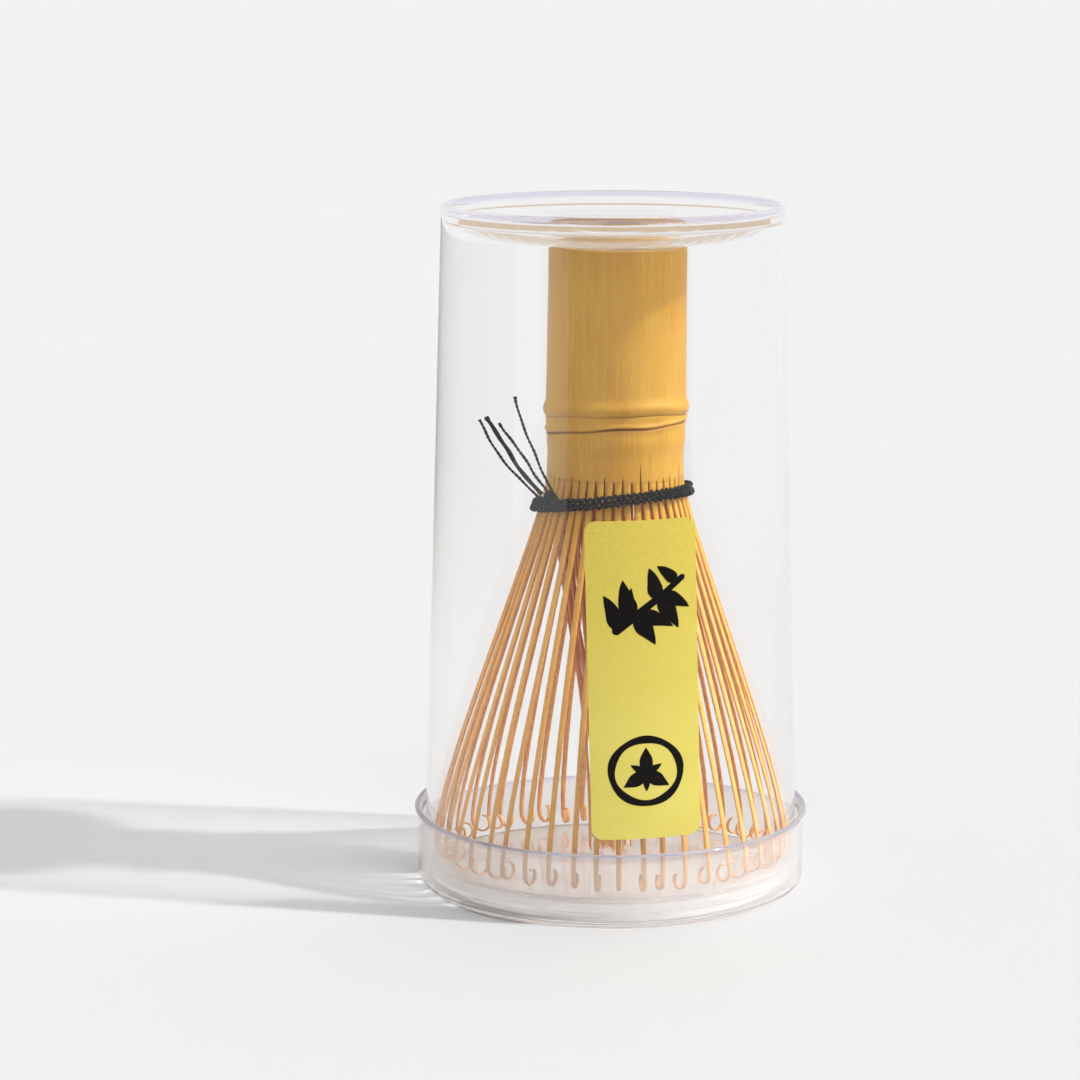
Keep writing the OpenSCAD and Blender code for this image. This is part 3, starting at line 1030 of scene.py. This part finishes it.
# Half width, place and heights of the far wall, in metres
WALL_W, WALL_Y, WALL_LOW, WALL_TOP = 3, 2.5, 0.24, 2.5
# Colours and strength of the wall's glow, the painted tan reflection in the closed end and the lid
WOOD_DARK, WOOD_LIGHT, WOOD_GLOW = colour(214, 188, 156), colour(232, 210, 184), 0.88


def camera():
    data = bpy.data.cameras.new("camera")
    data.sensor_width = 36
    data.lens = 108.7
    data.clip_start, data.clip_end = 0.01, 100
    seen = bpy.data.objects.new("camera", data)
    seen.location = (-0.0132, -0.592, 0.1747)
    seen.rotation_euler = (math.radians(90 - 10.6), 0, 0)
    bpy.context.scene.collection.objects.link(seen)
    bpy.context.scene.camera = seen


def flat_sheet(name, corners, material):
    mesh = bpy.data.meshes.new(name)
    mesh.from_pydata(corners, [], [tuple(range(len(corners)))])
    mesh.materials.append(material)
    sheet = bpy.data.objects.new(name, mesh)
    bpy.context.scene.collection.objects.link(sheet)
    return sheet


def glow(name, low, high):
    """Light that is bright near the floor and fades to dark with height."""
    n = Nodes(name)
    height = n.make("ShaderNodeSeparateXYZ")
    n.link(n.place(), height.inputs[0])
    light = n.make("ShaderNodeEmission")
    n.link(n.ramp(height.outputs["Z"], low * MM, high * MM, SURROUND, DARK_ROOM), light.inputs["Strength"])
    n.link(light.outputs[0], n.output.inputs["Surface"])
    return n.material


def hide_card(card, in_reflections, through_plastic):
    card.visible_camera = card.visible_diffuse = card.visible_shadow = False
    card.visible_glossy = in_reflections
    card.visible_transmission = through_plastic


def dark_card(name, start_turn, end_turn, low, high):
    """A dark card by the case, seen only in what the case's outside reflects."""
    a, b = polar(CARD_R, start_turn, 0) * MM, polar(CARD_R, end_turn, 0) * MM
    up = Vector((0, 0, CARD_H * MM))
    card = flat_sheet(name, [a, b, b + up, a + up], glow(name + "_glow", low, high))
    hide_card(card, True, False)


def wood_glow():
    n = Nodes("wood_glow")
    grain = n.noise(n.place((0.3, 0.3, 3)), 60, 5, 0.6, 1.2)
    light = n.make("ShaderNodeEmission")
    n.link(n.colours(n.ramp(grain, 0.35, 0.65), WOOD_DARK, WOOD_LIGHT), light.inputs["Color"])
    light.inputs["Strength"].default_value = WOOD_GLOW
    n.link(light.outputs[0], n.output.inputs["Surface"])
    return n.material


def wooden_wall():
    """A glowing sheet of pale wood far behind the case that lights nothing, seen only where the closed end
    and the lid bend it into view: a painted tan reflection.
    """
    corners = [(-WALL_W, WALL_LOW), (WALL_W, WALL_LOW), (WALL_W, WALL_TOP), (-WALL_W, WALL_TOP)]
    wall = flat_sheet("wood_wall", [(x, WALL_Y, z) for x, z in corners], wood_glow())
    hide_card(wall, False, True)


def studio():
    side = 30
    flat_sheet("floor", [(-side, -side, 0), (side, -side, 0), (side, side, 0), (-side, side, 0)],
               floor_material())
    world = bpy.data.worlds.new("world")
    world.use_nodes = True
    sky = world.node_tree.nodes["Background"]
    sky.inputs["Color"].default_value = (1, 1, 1, 1)
    sky.inputs["Strength"].default_value = SURROUND
    bpy.context.scene.world = world
    sun = bpy.data.lights.new("window", "SUN")
    sun.energy = 1.95
    sun.angle = math.radians(2.2)
    lamp = bpy.data.objects.new("window", sun)
    rise = math.radians(SUN_RISE)
    towards = polar(math.cos(rise), SUN_TURN, math.sin(rise))
    lamp.rotation_mode = "QUATERNION"
    lamp.rotation_quaternion = towards.to_track_quat("Z", "Y")
    bpy.context.scene.collection.objects.link(lamp)
    dark_card("dark_corner", -235, -145.5, 25, 80)
    dark_card("dark_room", -114.5, -49, 10, 60)
    wooden_wall()
    bpy.context.scene.view_settings.view_transform = "Standard"
    cycles = bpy.context.scene.cycles
    cycles.max_bounces = cycles.transmission_bounces = BOUNCES
    cycles.glossy_bounces = cycles.transparent_max_bounces = BOUNCES
    cycles.diffuse_bounces = 4


# ---------------------------------------------------------------- build

camera()
studio()
case_tube(clear_plastic("tube_clear", colour(254, 254, 254), colour(232, 229, 244), 0.0, 0.012,
                        0.97, 0.89, 0.65))
case_lid(clear_plastic("lid_clear", colour(255, 253, 252), colour(226, 222, 238), 0.17, 0.06,
                       0.99, 0.99, 0.95))
label(paper_material())
ink = ink_material()
label_sprig(ink)
label_crest(ink)
handle(handle_material())
outer_wood = tine_material("tine_skin", colour(245, 169, 68), colour(254, 198, 100),
                           colour(228, 143, 68), colour(247, 184, 104))
inner_wood = tine_material("tine_inside", colour(224, 146, 74), colour(242, 178, 104),
                           colour(204, 116, 58), colour(232, 154, 86))
for section in range(1, SECTIONS + 1):
    outer_tines(section, outer_wood)
    inner_tines(section, inner_wood)
cotton = thread_material()
for number in (1, 2, 3):
    thread_round(number, cotton)
thread_knot(cotton)
for number, tail in enumerate(TAILS, 1):
    thread_tail(number, tail, cotton)
